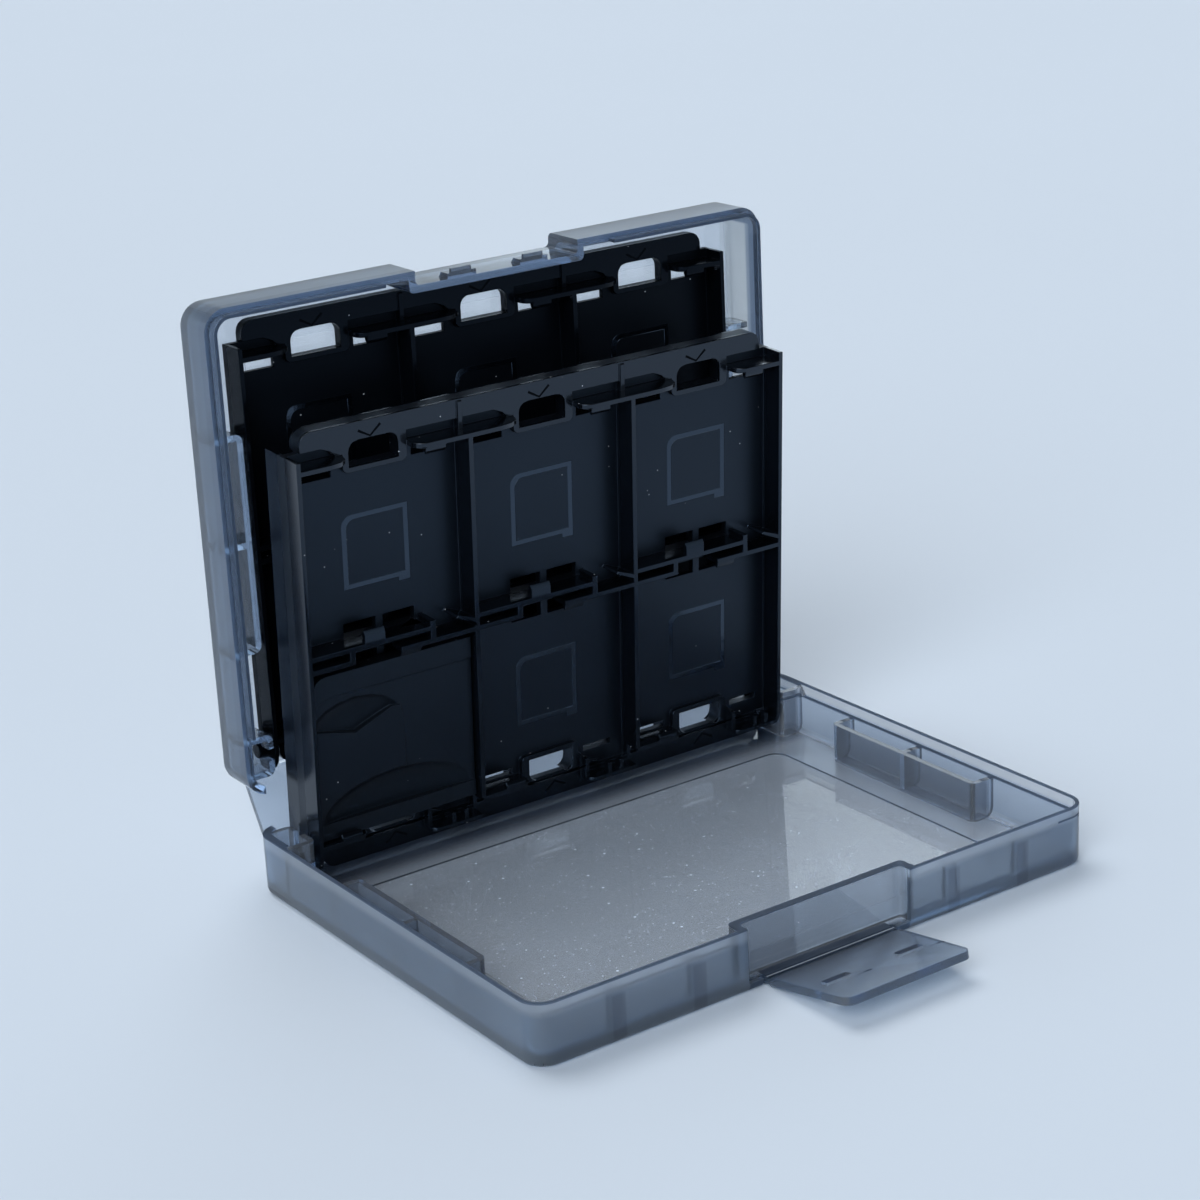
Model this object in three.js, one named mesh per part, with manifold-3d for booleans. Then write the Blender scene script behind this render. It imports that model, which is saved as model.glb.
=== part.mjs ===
// Game card case, standing open. A translucent base and lid fold on a spine strip. A black card
// tray is clipped into the lid, and a black double-sided card page swings up out of the base.
// Millimetres, +Z up. The origin is the centre of the base's underside, +X runs along the front
// edge and +Y points to the hinge side.

import * as THREE from 'three';
import { mergeVertices } from 'three/addons/utils/BufferGeometryUtils.js';
import Module from 'manifold-3d';

const wasm = await Module();
wasm.setup();

// Case shell
const caseWidth = 126;
const caseDepth = 94.2;
const baseHeight = 12;
const lidHeight = 10.1;
const shellWall = 1.6;
const cornerRadius = 4.5;
const edgeRadius = 1.2;
const innerEdgeRadius = 2;
const clearance = 0.3;
const weld = 0.2;

// Shallow recess in the middle of each shell's panel
const panelSideMargin = 12;
const panelFrontMargin = 10.3;
const panelHingeMargin = 16.1;
const panelRecess = 0.4;
const panelCorner = 3;

// Rim: a lip on the lid drops into a rabbet inside the base's rim
const lipHeight = 2;
const lipThickness = 0.6;
const lipHingeMargin = 12;
const lipLatchHalf = 26;
const rabbetSlant = 1.9;

// Pocket brackets on the side walls
const bracketDepth = 5.3;
const bracketWall = 1.2;
const bracketLength = 42.6;
const bracketHingeMargin = 48.6;
const baseBracketHeight = 10.2;
const lidBracketHeight = 7.6;
const bracketCorner = 1.5;

// Ribs inside the base's front wall
const frontRibOffsets = [29, 46];
const frontRibWidth = 2.8;
const frontRibDepth = 0.8;

// Latch: a flap hinged below a recess in the front wall
const latchHalfWidth = 18.5;
const latchDepth = 2.8;
const latchWall = 1.4;
const latchCorner = 1;
const flapLength = 22.2;
const flapRootWidth = 29.7;
const flapTipWidth = 28.2;
const flapThickness = 1.5;
const flapCorner = 1.8;
const flapSlotOffset = 8.2;
const flapSlotWidth = 5.6;
const flapSlotHeight = 1.7;
const catchWidth = 6.4;
const catchDepth = 3.4;
const catchRise = 1.1;
const catchNibRise = 0.8;

// Spine strip and thin hinges
const spineSideMargin = 4;
const spineThickness = 1.2;
const hingeBead = 0.5;
const hingeNeck = 0.8;
const hingeNeckLength = 1.4;

// Card trays
const trayGap = 0.55;
const latchGap = 0.4;
const floorGap = 0.45;
const lidTrayHingeMargin = 6.9;
const trayWall = 0.9;
const wallSetback = 4;
const footDrop = 4.3;
const divider = 1;
const endSlotReach = 17.8;
const slotDepth = 5;
const pagePlate = 1.5;
const lidPlate = 1.2;
const pinRadius = 1.5;
const pinReach = 2.4;

// Finger windows, in a raised panel along the tray's outer edges
const panelRise = 1.15;
const bandSideMargin = 2.95;
const bandHeight = 3.8;
const bandCorner = 2.4;
const windowWidth = 10.6;
const windowHeight = 4.9;
const windowCorner = 2;
const windowMargin = 3.55;
const windowRim = 1.05;
const lowerWindowLift = 0.8;
const tabLeft = 6.6;
const tabRight = 7.1;
const tabCorner = 1.2;
const flankReach = 5;
const flankDrop = 3.4;
const dividerCrest = 1.6;
const dividerCrestTop = 0.4;

// Lips, snap nibs and hooks that hold a card in its slot
const lipSetback = 6.7;
const shelfThickness = 1;
const shortLipReach = 6.6;
const longLipCorner = 2.2;
const snapDepth = 1.1;
const snapDrop = 1.3;
const snapStart = 8.8;
const snapWidth = 4.4;
const slitNear = 8.6;
const slitFar = 15.2;
const shortLipSlit = 2.8;
const longLipSlit = 2.1;
const lowerSlit = 1.2;
const slitBelowLip = 0.3;

// Cup that takes the place of the short lip in the lower row
const cupDrop = 3.8;
const cupFloor = 0.8;
const cupSetback = 0.4;
const cupPost = 1;
const cupCorner = 1.8;
const cupPostTop = 0.1;
const toothOffsets = [12.2, 15.1];
const toothWidth = 0.9;
const toothDepth = 1.8;
const toothHeight = 2;

// Middle ribs between the two rows, with hooks and the openings behind them
const ribThickness = 1;
const ribOffset = 1.3;
const ribStop = 8.2;
const postThickness = 1.2;
const postRise = 2.8;
const hookNear = 1.7;
const hookFar = 6.1;
const hookRise = 4.4;
const lowerHookRise = 2.9;
const hookNose = 0.5;
const coreHalfWidth = 7.7;
const coreWeb = 1.6;
const coreHeight = 2.7;
const gussetReach = 4.2;
const gussetRise = 2.4;
const gussetThickness = 1;

// Card adapter in the page's lower left slot
const adapterTopGap = 1.4;
const adapterPlate = 3;
const adapterRise = 0.3;
const adapterCorner = 3;
const adapterBar = 3.3;
const adapterBand = 4.4;
const bandSweep = 4;
const gripWidth = 19.4;
const gripHeight = 20.5;
const gripDip = 2.2;
const gripPeak = 2.2;
const gripKnee = 8.8;
const gripCrest = 2.6;
const scoopDepth = 1.5;
const gripScoopWidth = 22;
const gripScoopRise = 7.4;
const footScoopWidth = 34;
const footScoopRise = 7.5;

// Pose in which the case stands open
const spineLean = 31;
const pageLean = 2.9;
const flapRaise = 10.5;

// Values that follow from the sizes above
const closedThickness = baseHeight + clearance + lidHeight;
const hingeInset = spineThickness / 2;
const spineAxis = caseDepth / 2 - hingeInset;
const spineLength = closedThickness - 2 * hingeInset;
const innerHalfWidth = caseWidth / 2 - shellWall;
const panelWidth = caseWidth - 2 * panelSideMargin;
const spineWidth = caseWidth - 2 * spineSideMargin;
const bracketFace = innerHalfWidth - bracketDepth;
const trayHalf = bracketFace - trayGap;
const slotPitch = trayHalf - trayWall / 2 - endSlotReach;
const bandWidth = 2 * (trayHalf - bandSideMargin);
const trayHeight = caseDepth - lidTrayHingeMargin + footDrop - latchDepth - latchWall - latchGap;
const trayWallHeight = trayHeight - 2 * wallSetback;
const pivotBelowCentre = trayHeight / 2 - footDrop;
const lipGap = trayHeight / 2 - lipSetback;
const adapterHeight = lipGap - ribOffset - ribThickness / 2 - clearance - adapterTopGap;
const pageHalf = pagePlate / 2 + slotDepth;
const pagePivotHeight = shellWall + floorGap + pageHalf;
const pagePivotBack = caseDepth / 2 - spineThickness - clearance - footDrop;
const lidTrayDepth = slotDepth + lidPlate;
const lidPinDepth = lidTrayDepth / 2;
const flapAxisHeight = flapThickness / 2;
const flapAxis = caseDepth / 2 - flapThickness / 2;
const flapSlotHeightOnFlap = baseHeight + clearance + snapDepth / 2 - flapAxisHeight;
const degrees = Math.PI / 180;

// Solids and meshes

function solid(geometry) {
  const bare = geometry.clone();
  bare.deleteAttribute('normal');
  bare.deleteAttribute('uv');
  const merged = mergeVertices(bare, 1e-5);
  const vertProperties = new Float32Array(merged.attributes.position.array);
  const triVerts = new Uint32Array(merged.index.array);
  return new wasm.Manifold(new wasm.Mesh({ numProp: 3, vertProperties, triVerts }));
}

function join(geometries) {
  return geometries.map(solid).reduce((whole, piece) => whole.add(piece));
}

function cut(body, geometries) {
  return geometries.map(solid).reduce((whole, piece) => whole.subtract(piece), body);
}

function meshOf(body, name, material) {
  const result = body.getMesh();
  const geometry = new THREE.BufferGeometry();
  geometry.setAttribute('position', new THREE.BufferAttribute(new Float32Array(result.vertProperties), 3));
  geometry.setIndex(new THREE.BufferAttribute(new Uint32Array(result.triVerts), 1));
  geometry.computeVertexNormals();
  const mesh = new THREE.Mesh(geometry, material);
  mesh.name = name;
  return mesh;
}

function box(x0, x1, y0, y1, z0, z1) {
  const geometry = new THREE.BoxGeometry(x1 - x0, y1 - y0, z1 - z0);
  return geometry.translate((x0 + x1) / 2, (y0 + y1) / 2, (z0 + z1) / 2);
}

const axisX = new THREE.Vector3(1, 0, 0);
const axisY = new THREE.Vector3(0, 1, 0);
const axisZ = new THREE.Vector3(0, 0, 1);

function extruded(shape, depth, curveSegments) {
  return new THREE.ExtrudeGeometry(shape, { bevelEnabled: false, depth, curveSegments });
}

// A plan outline in X and Y, raised from z0 to z1
function raise(shape, z0, z1, curveSegments = 3) {
  return extruded(shape, z1 - z0, curveSegments).translate(0, 0, z0);
}

// A face outline in X and Z, with its thickness from y0 to y1
function face(shape, y0, y1, curveSegments = 2) {
  const turn = new THREE.Matrix4().makeBasis(axisX, axisZ, axisY.clone().negate());
  return extruded(shape, y1 - y0, curveSegments).applyMatrix4(turn).translate(0, y1, 0);
}

// A section in Y and Z, drawn out from x0 to x1
function drawn(shape, x0, x1, curveSegments = 3) {
  const turn = new THREE.Matrix4().makeBasis(axisY, axisZ, axisX);
  return extruded(shape, x1 - x0, curveSegments).applyMatrix4(turn).translate(x0, 0, 0);
}

function polygon(points) {
  return new THREE.Shape(points.map(([a, b]) => new THREE.Vector2(a, b)));
}

// A rectangle between two corners, each corner with its own radius: lower left, lower right,
// upper right, upper left
function rounded(a0, a1, b0, b1, radii) {
  const [lowLeft, lowRight, highRight, highLeft] = radii;
  const shape = new THREE.Shape();
  const corner = (a, b, radius, start) => {
    if (radius > 0) {
      shape.absarc(a, b, radius, start, start + Math.PI / 2, false);
    } else {
      shape.lineTo(a, b);
    }
  };
  shape.moveTo(a0 + lowLeft, b0);
  corner(a1 - lowRight, b0 + lowRight, lowRight, -Math.PI / 2);
  corner(a1 - highRight, b1 - highRight, highRight, 0);
  corner(a0 + highLeft, b1 - highLeft, highLeft, Math.PI / 2);
  corner(a0 + lowLeft, b0 + lowLeft, lowLeft, Math.PI);
  shape.closePath();
  return shape;
}

function evenly(radius) {
  return [radius, radius, radius, radius];
}

// A block with round plan corners and a round bottom edge, its flat underside at z = 0
function softBlock(width, depth, height, corner, edge) {
  const outline = rounded(-width / 2, width / 2, -depth / 2, depth / 2, evenly(corner));
  const block = new THREE.ExtrudeGeometry(outline, {
    depth: height,
    curveSegments: 4,
    bevelEnabled: true,
    bevelThickness: edge,
    bevelSize: edge,
    bevelOffset: -edge,
    bevelSegments: 3,
  });
  block.translate(0, 0, edge);
  const above = box(-width, width, -depth, depth, height, height + 3 * edge);
  return solid(block).subtract(solid(above));
}

// Case halves, drawn with the panel down, the hinge at +Y and the latch at -Y

const hingeEdge = caseDepth / 2;
const latchEdge = -caseDepth / 2;
const recessBack = latchEdge + latchDepth;
const hingeCut = hingeEdge - spineThickness - clearance;
const hingeCutHalf = spineWidth / 2 + clearance;
const tall = baseHeight + lidHeight;

function recessOutline(grow) {
  const half = latchHalfWidth + grow;
  return rounded(-half, half, latchEdge - tall, recessBack + grow, [0, 0, latchCorner, latchCorner]);
}

// A pocket bracket: a plate along the side wall, closed at its ends, with a web in its middle
function bracketOutline(side, start, end, webs) {
  const near = Math.min(side * bracketFace, side * (innerHalfWidth + weld));
  const far = Math.max(side * bracketFace, side * (innerHalfWidth + weld));
  const radii = side > 0
    ? [bracketCorner, 0, 0, bracketCorner]
    : [0, bracketCorner, bracketCorner, 0];
  const outline = rounded(near, far, start, end, radii);
  const bay = (end - start - bracketWall) / (webs + 1);
  const inner = side > 0
    ? [near + bracketWall, far + weld]
    : [near - weld, far - bracketWall];
  const pockets = [];
  for (let index = 0; index <= webs; index += 1) {
    const low = start + bracketWall + index * bay;
    pockets.push(rounded(inner[0], inner[1], low, low + bay - bracketWall, evenly(0)));
  }
  return { outline, pockets };
}

function bracket(side, start, end, webs, top) {
  const { outline, pockets } = bracketOutline(side, start, end, webs);
  const foot = shellWall - weld;
  const body = join([raise(outline, foot, top)]);
  return cut(body, pockets.map((pocket) => raise(pocket, shellWall, top + weld)));
}

function caseHalf(height, bracketHeight, recessFloor) {
  const outside = softBlock(caseWidth, caseDepth, height, cornerRadius, edgeRadius);
  const hollow = softBlock(
    caseWidth - 2 * shellWall,
    caseDepth - 2 * shellWall,
    tall,
    cornerRadius - shellWall,
    innerEdgeRadius,
  ).translate([0, 0, shellWall]);
  const latchBlock = solid(raise(recessOutline(latchWall), 0, tall));
  const recess = raise(recessOutline(0), recessFloor, tall);
  const spineBay = box(-hingeCutHalf, hingeCutHalf, hingeCut, hingeEdge + tall, -tall, tall);
  const openBack = box(
    -hingeCutHalf,
    hingeCutHalf,
    hingeCut - shellWall - innerEdgeRadius,
    hingeEdge + tall,
    shellWall,
    tall,
  );
  const panelOutline = rounded(
    -panelWidth / 2,
    panelWidth / 2,
    latchEdge + panelFrontMargin,
    hingeEdge - panelHingeMargin,
    evenly(panelCorner),
  );
  const panel = raise(panelOutline, shellWall - panelRecess, shellWall + panelRecess);
  let half = outside.subtract(hollow.subtract(latchBlock));
  half = cut(half, [recess, spineBay, openBack, panel]);
  const middle = hingeEdge - bracketHingeMargin;
  for (const side of [-1, 1]) {
    const start = middle - bracketLength / 2;
    half = half.add(bracket(side, start, start + bracketLength, 1, bracketHeight));
  }
  return half;
}

// A plan ring that follows the rim between two insets from the outside face
function rimRing(inset, z0, z1) {
  const width = caseWidth / 2 - inset;
  const depth = caseDepth / 2 - inset;
  return raise(rounded(-width, width, -depth, depth, evenly(cornerRadius - inset)), z0, z1, 4);
}

// Keyhole for a pivot pin: a round seat with a narrower mouth
function pinSeat(side, y, z, mouthY, mouthZ) {
  const seatRadius = pinRadius + clearance;
  const seat = new THREE.CylinderGeometry(seatRadius, seatRadius, 2 * bracketWall + 2 * weld, 16);
  seat.rotateZ(Math.PI / 2).translate(side * (bracketFace + bracketWall / 2), y, z);
  const mouth = pinRadius - clearance;
  const x0 = Math.min(side * (bracketFace - weld), side * (bracketFace + bracketWall + weld));
  const x1 = Math.max(side * (bracketFace - weld), side * (bracketFace + bracketWall + weld));
  const reach = 4 * pinRadius + tall;
  const throat = box(
    x0,
    x1,
    y - (mouthY ? 0 : mouth),
    y + (mouthY ? reach : mouth),
    z - (mouthZ ? 0 : mouth),
    z + (mouthZ ? reach : mouth),
  );
  return [seat, throat];
}

// Base: rabbet inside the rim, front ribs, pivot brackets for the page and a ledge for the flap

function baseBody() {
  const ledge = shellWall;
  let body = caseHalf(baseHeight, baseBracketHeight, ledge);
  const rabbetDepth = lipHeight + clearance;
  const rabbetFloor = baseHeight - rabbetDepth;
  const rabbetWall = shellWall - lipThickness - clearance;
  const backEnd = hingeEdge - lipHingeMargin;
  const alongSides = drawn(polygon([
    [-tall * 4, rabbetFloor],
    [backEnd, rabbetFloor],
    [backEnd + rabbetSlant, baseHeight + weld],
    [-tall * 4, baseHeight + weld],
  ]), -caseWidth, caseWidth);
  const latchZone = raise(recessOutline(latchWall + weld), 0, tall);
  const rabbet = solid(rimRing(rabbetWall, rabbetFloor, tall))
    .intersect(solid(alongSides))
    .subtract(solid(latchZone));
  body = body.subtract(rabbet);
  const ribBack = latchEdge + shellWall;
  for (const offset of frontRibOffsets) {
    for (const side of [-1, 1]) {
      const x = side * offset;
      body = body.add(solid(box(
        x - frontRibWidth / 2,
        x + frontRibWidth / 2,
        ribBack - weld,
        ribBack + frontRibDepth,
        shellWall - weld,
        rabbetFloor,
      )));
    }
  }
  const seatHalf = pageHalf;
  for (const side of [-1, 1]) {
    const end = Math.min(pagePivotBack + seatHalf, hingeCut - clearance);
    let pivot = bracket(side, pagePivotBack - seatHalf, end, 0, baseHeight - clearance);
    pivot = cut(pivot, pinSeat(side, pagePivotBack, pagePivotHeight, false, true));
    body = body.add(pivot);
  }
  const flapBay = flapRootWidth / 2 + clearance + weld;
  const hingeFront = -flapAxis + hingeBead + clearance;
  return cut(body, [box(-flapBay, flapBay, latchEdge - tall, hingeFront, -weld, shellWall + weld)]);
}

// Lid: lip round the rim, clips for the tray's pins and two catches for the flap

function lidBody() {
  let body = caseHalf(lidHeight, lidBracketHeight, -tall);
  const lipOutside = shellWall - lipThickness;
  const lipTop = lidHeight + lipHeight;
  const hingeSide = hingeEdge - lipHingeMargin - clearance;
  const lip = cut(solid(rimRing(lipOutside, lidHeight - weld, lipTop)), [
    rimRing(shellWall, lidHeight - 2 * weld, lipTop + weld),
    box(-caseWidth, caseWidth, hingeSide, caseDepth, 0, tall),
    box(-lipLatchHalf, lipLatchHalf, -caseDepth, 0, 0, tall),
  ]);
  body = body.add(lip);
  const pinY = hingeEdge - lidTrayHingeMargin;
  const pinZ = shellWall + clearance + lidPinDepth;
  const clipHalf = pinRadius + clearance + 2 * bracketWall;
  for (const side of [-1, 1]) {
    let clip = bracket(side, pinY - clipHalf, pinY + clipHalf, 0, lidHeight - clearance - bracketWall);
    clip = cut(clip, pinSeat(side, pinY, pinZ, false, true));
    body = body.add(clip);
  }
  for (const side of [-1, 1]) {
    const x = side * flapSlotOffset;
    const back = recessBack + weld;
    const slope = polygon([
      [back, lidHeight],
      [recessBack - catchRise, lidHeight],
      [recessBack - catchRise, lidHeight - catchDepth + catchRise],
      [back, lidHeight - catchDepth],
    ]);
    const nibHalf = (flapSlotWidth - 4 * clearance) / 2;
    const nib = polygon([
      [recessBack, lidHeight],
      [recessBack - catchRise - catchNibRise, lidHeight - weld],
      [recessBack - catchRise - catchNibRise, lidHeight - catchNibRise],
      [recessBack, lidHeight - snapDepth],
    ]);
    body = body.add(solid(drawn(slope, x - catchWidth / 2, x + catchWidth / 2)));
    body = body.add(solid(drawn(nib, x - nibHalf, x + nibHalf)));
  }
  return body;
}

// A strip with a bead on one or both hinge axes, thinned beside each bead. Section in Y and Z.
function hingeSection(length, thickness, beads) {
  const half = thickness / 2;
  const neck = hingeNeck / 2;
  const near = Math.asin(neck / hingeBead);
  const shape = new THREE.Shape();
  shape.moveTo(neck, hingeBead * Math.cos(near));
  shape.absarc(0, 0, hingeBead, Math.PI / 2 - near, Math.PI / 2 + near, true);
  shape.lineTo(-neck, hingeNeckLength);
  shape.lineTo(-half, hingeNeckLength + half);
  if (beads === 2) {
    shape.lineTo(-half, length - hingeNeckLength - half);
    shape.lineTo(-neck, length - hingeNeckLength);
    shape.absarc(0, length, hingeBead, -Math.PI / 2 - near, -Math.PI / 2 + near, true);
    shape.lineTo(neck, length - hingeNeckLength);
    shape.lineTo(half, length - hingeNeckLength - half);
  } else {
    shape.lineTo(-half, length);
    shape.lineTo(half, length);
  }
  shape.lineTo(half, hingeNeckLength + half);
  shape.lineTo(neck, hingeNeckLength);
  shape.closePath();
  return shape;
}

function spineBody() {
  const section = hingeSection(spineLength, spineThickness, 2);
  return join([drawn(section, -spineWidth / 2, spineWidth / 2)]);
}

// Flap, drawn upright as when it is shut, its hinge on the X axis
function flapBody() {
  const section = hingeSection(flapLength, flapThickness, 1);
  const strip = solid(drawn(section, -flapRootWidth / 2, flapRootWidth / 2));
  const tip = flapTipWidth / 2;
  const root = flapRootWidth / 2;
  const outline = new THREE.Shape();
  outline.moveTo(-root, -tall);
  outline.lineTo(root, -tall);
  outline.lineTo(root, 0);
  outline.lineTo(tip, flapLength - flapCorner);
  outline.absarc(tip - flapCorner, flapLength - flapCorner, flapCorner, 0, Math.PI / 2, false);
  outline.absarc(flapCorner - tip, flapLength - flapCorner, flapCorner, Math.PI / 2, Math.PI, false);
  outline.lineTo(-root, 0);
  outline.closePath();
  let flap = strip.intersect(solid(face(outline, -tall, tall)));
  for (const side of [-1, 1]) {
    const x = side * flapSlotOffset;
    const low = flapSlotHeightOnFlap - flapSlotHeight / 2;
    const slot = rounded(
      x - flapSlotWidth / 2,
      x + flapSlotWidth / 2,
      low,
      low + flapSlotHeight,
      evenly(clearance),
    );
    flap = cut(flap, [face(slot, -tall, tall)]);
  }
  return flap;
}

// Card trays. A tray is drawn upright about the centre of its face, with its plate's middle at
// y = 0 and the open side of its slots towards -Y. One slot of the upper row is drawn about its
// column's centre line. The lower row is that slot turned over, with a cup for its short lip.

const halfTray = trayHeight / 2;
const halfWall = trayWallHeight / 2;
const windowTop = halfTray - windowMargin;
const windowBase = windowTop - windowHeight;
const columnEdges = [-trayHalf + trayWall / 2, -slotPitch / 2, slotPitch / 2, trayHalf - trayWall / 2];
const columnCentres = [-slotPitch, 0, slotPitch];

// The short lip runs from a wall to the window's tab and falls back to it at its end
function shortLip(left, plateHalf) {
  const root = -plateHalf + weld;
  const front = -plateHalf - slotDepth;
  const panel = -plateHalf - panelRise;
  const outline = new THREE.Shape();
  outline.moveTo(left, root);
  outline.lineTo(left, front);
  outline.lineTo(left + shortLipReach, front);
  outline.quadraticCurveTo(-tabLeft - clearance, front, -tabLeft, panel);
  outline.lineTo(-tabLeft, root);
  outline.closePath();
  return raise(outline, lipGap, lipGap + shelfThickness);
}

// The long lip has a round free end and a snap nib under its front edge
function longLip(right, plateHalf) {
  const root = -plateHalf + weld;
  const front = -plateHalf - slotDepth;
  const bend = longLipCorner;
  const outline = new THREE.Shape();
  outline.moveTo(tabRight, root);
  outline.lineTo(tabRight, front + bend);
  outline.absarc(tabRight + bend, front + bend, bend, Math.PI, 1.5 * Math.PI, false);
  outline.lineTo(right, front);
  outline.lineTo(right, root);
  outline.closePath();
  const snap = polygon([
    [front, lipGap + weld],
    [front, lipGap - snapDrop / 2],
    [front + snapDepth / 2, lipGap - snapDrop],
    [front + snapDepth, lipGap - snapDrop / 2],
    [front + snapDepth, lipGap + weld],
  ]);
  return [
    raise(outline, lipGap, lipGap + shelfThickness),
    drawn(snap, snapStart, snapStart + snapWidth),
  ];
}

// The cup is a low shelf with a post at its free end and two teeth on its floor
function slotCup(right, plateHalf) {
  const root = -plateHalf + weld;
  const front = -plateHalf - slotDepth + cupSetback;
  const floor = -lipGap - cupDrop;
  const bend = cupCorner;
  const outline = new THREE.Shape();
  outline.moveTo(tabRight, root);
  outline.lineTo(tabRight, front + bend);
  outline.absarc(tabRight + bend, front + bend, bend, Math.PI, 1.5 * Math.PI, false);
  outline.lineTo(right, front);
  outline.lineTo(right, root);
  outline.closePath();
  const postFront = front + bend;
  const pieces = [
    raise(outline, floor - cupFloor, floor),
    box(tabRight, tabRight + cupPost, postFront, root, floor - weld, -lipGap - cupPostTop),
  ];
  for (const offset of toothOffsets) {
    const low = offset - toothWidth / 2;
    const toothFront = front + cupSetback;
    const top = floor + toothHeight;
    pieces.push(box(low, low + toothWidth, toothFront, toothFront + toothDepth, floor - weld, top));
  }
  return pieces;
}

// A raised tab round the window. On one side it runs out into the band in a curve.
function slotTab(plateHalf) {
  const low = windowBase - windowRim;
  const bandLow = halfTray - bandHeight;
  const outline = new THREE.Shape();
  outline.moveTo(tabCorner - tabLeft, low);
  outline.absarc(tabRight - tabCorner, low + tabCorner, tabCorner, -Math.PI / 2, 0, false);
  outline.lineTo(tabRight, bandLow + weld);
  outline.lineTo(-tabLeft - flankReach, bandLow + weld);
  outline.quadraticCurveTo(-tabLeft - flankReach / 2, bandLow, -tabLeft, bandLow - flankDrop);
  outline.lineTo(-tabLeft, low + tabCorner);
  outline.absarc(tabCorner - tabLeft, low + tabCorner, tabCorner, Math.PI, 1.5 * Math.PI, false);
  outline.closePath();
  return face(outline, -plateHalf - panelRise, -plateHalf + weld);
}

// The hook stands on a middle rib and keeps a card's edge against the plate
function slotHook(plateHalf, rise) {
  const front = -plateHalf - slotDepth;
  const hook = polygon([
    [front, ribOffset],
    [front, rise - 2 * hookNose],
    [front + hookNose, rise],
    [front + snapDepth, rise - hookNose],
    [front + snapDepth, ribOffset],
  ]);
  return drawn(hook, -hookFar, -hookNear);
}

function columnRibs(left, right, plateHalf) {
  const root = -plateHalf + weld;
  const front = -plateHalf - slotDepth;
  const low = ribOffset - ribThickness / 2;
  const high = ribOffset + ribThickness / 2;
  const gusset = polygon([
    [right, low - gussetThickness],
    [right, low],
    [right - gussetReach, gussetRise],
    [right - gussetReach - gussetThickness / 2, gussetRise - gussetThickness / 2],
  ]);
  return [
    box(left, ribStop, front, root, low, high),
    box(left, -ribStop, front, root, -high, -low),
    box(hookNear, right, front, root, -high, -low),
    box(-ribStop - postThickness, -ribStop, front, root, -high, high),
    box(ribStop, ribStop + postThickness, front, root, -high, postRise),
    face(gusset, front, root),
  ];
}

// All that stands on one face of a tray
function traySide(plateHalf) {
  const pieces = [];
  columnCentres.forEach((centre, index) => {
    const left = columnEdges[index] - centre;
    const right = columnEdges[index + 1] - centre;
    const upper = [shortLip(left, plateHalf), ...longLip(right, plateHalf)];
    upper.push(slotTab(plateHalf), slotHook(plateHalf, hookRise));
    const lower = [...longLip(-left, plateHalf), slotHook(plateHalf, lowerHookRise)];
    lower.forEach((piece) => piece.rotateY(Math.PI));
    lower.push(slotTab(plateHalf).rotateY(Math.PI).translate(0, 0, lowerWindowLift));
    lower.push(...slotCup(right, plateHalf));
    const ribs = columnRibs(left, right, plateHalf);
    [...upper, ...lower, ...ribs].forEach((piece) => pieces.push(piece.translate(centre, 0, 0)));
  });
  const root = -plateHalf + weld;
  const front = -plateHalf - slotDepth;
  for (const x of [columnEdges[1], columnEdges[2]]) {
    const crest = halfTray - dividerCrestTop;
    pieces.push(box(x - divider / 2, x + divider / 2, front, root, -lipGap - weld, lipGap + weld));
    pieces.push(box(x - divider / 2, x + divider / 2, -plateHalf - dividerCrest, root, -crest, crest));
  }
  const half = bandWidth / 2;
  for (const end of [-1, 1]) {
    const outer = end * halfTray;
    const inner = end * (halfTray - bandHeight);
    const low = Math.min(outer, inner);
    const radii = end > 0 ? [0, 0, bandCorner, bandCorner] : [bandCorner, bandCorner, 0, 0];
    const band = rounded(-half, half, low, low + bandHeight, radii);
    pieces.push(face(band, -plateHalf - panelRise, root));
  }
  return pieces;
}

// Openings through the plate: finger windows, and the slits and cores under lips and hooks
function trayOpenings(plateHalf) {
  const through = plateHalf + panelRise + weld;
  const plateDeep = plateHalf + weld / 2;
  const openings = [];
  const slitTop = lipGap - slitBelowLip;
  for (const centre of columnCentres) {
    for (const turn of [0, Math.PI]) {
      const radii = [0, 0, windowCorner, windowCorner];
      const shape = rounded(-windowWidth / 2, windowWidth / 2, windowBase, windowTop, radii);
      const cuts = [face(shape, -through, through).translate(0, 0, turn > 0 ? -lowerWindowLift : 0)];
      const coreBase = ribOffset + ribThickness / 2;
      for (const side of [-1, 1]) {
        const slitEnds = [side * slitNear, side * slitFar].sort((a, b) => a - b);
        const coreEnds = [side * coreWeb / 2, side * coreHalfWidth].sort((a, b) => a - b);
        const upperSlit = side < 0 ? shortLipSlit : longLipSlit;
        const slitHeight = turn > 0 ? lowerSlit : upperSlit;
        cuts.push(box(...slitEnds, -plateDeep, plateDeep, slitTop - slitHeight, slitTop));
        cuts.push(box(...coreEnds, -plateDeep, plateDeep, coreBase, coreBase + coreHeight));
      }
      cuts.forEach((piece) => openings.push(piece.rotateY(turn).translate(centre, 0, 0)));
    }
  }
  return openings;
}

function trayPlate(plateHalf) {
  const inner = trayHalf - trayWall / 2;
  const band = bandWidth / 2;
  return [
    box(-inner, inner, -plateHalf, plateHalf, -halfWall, halfWall),
    face(rounded(-band, band, -halfTray, halfTray, evenly(bandCorner)), -plateHalf, plateHalf),
  ];
}

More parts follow.
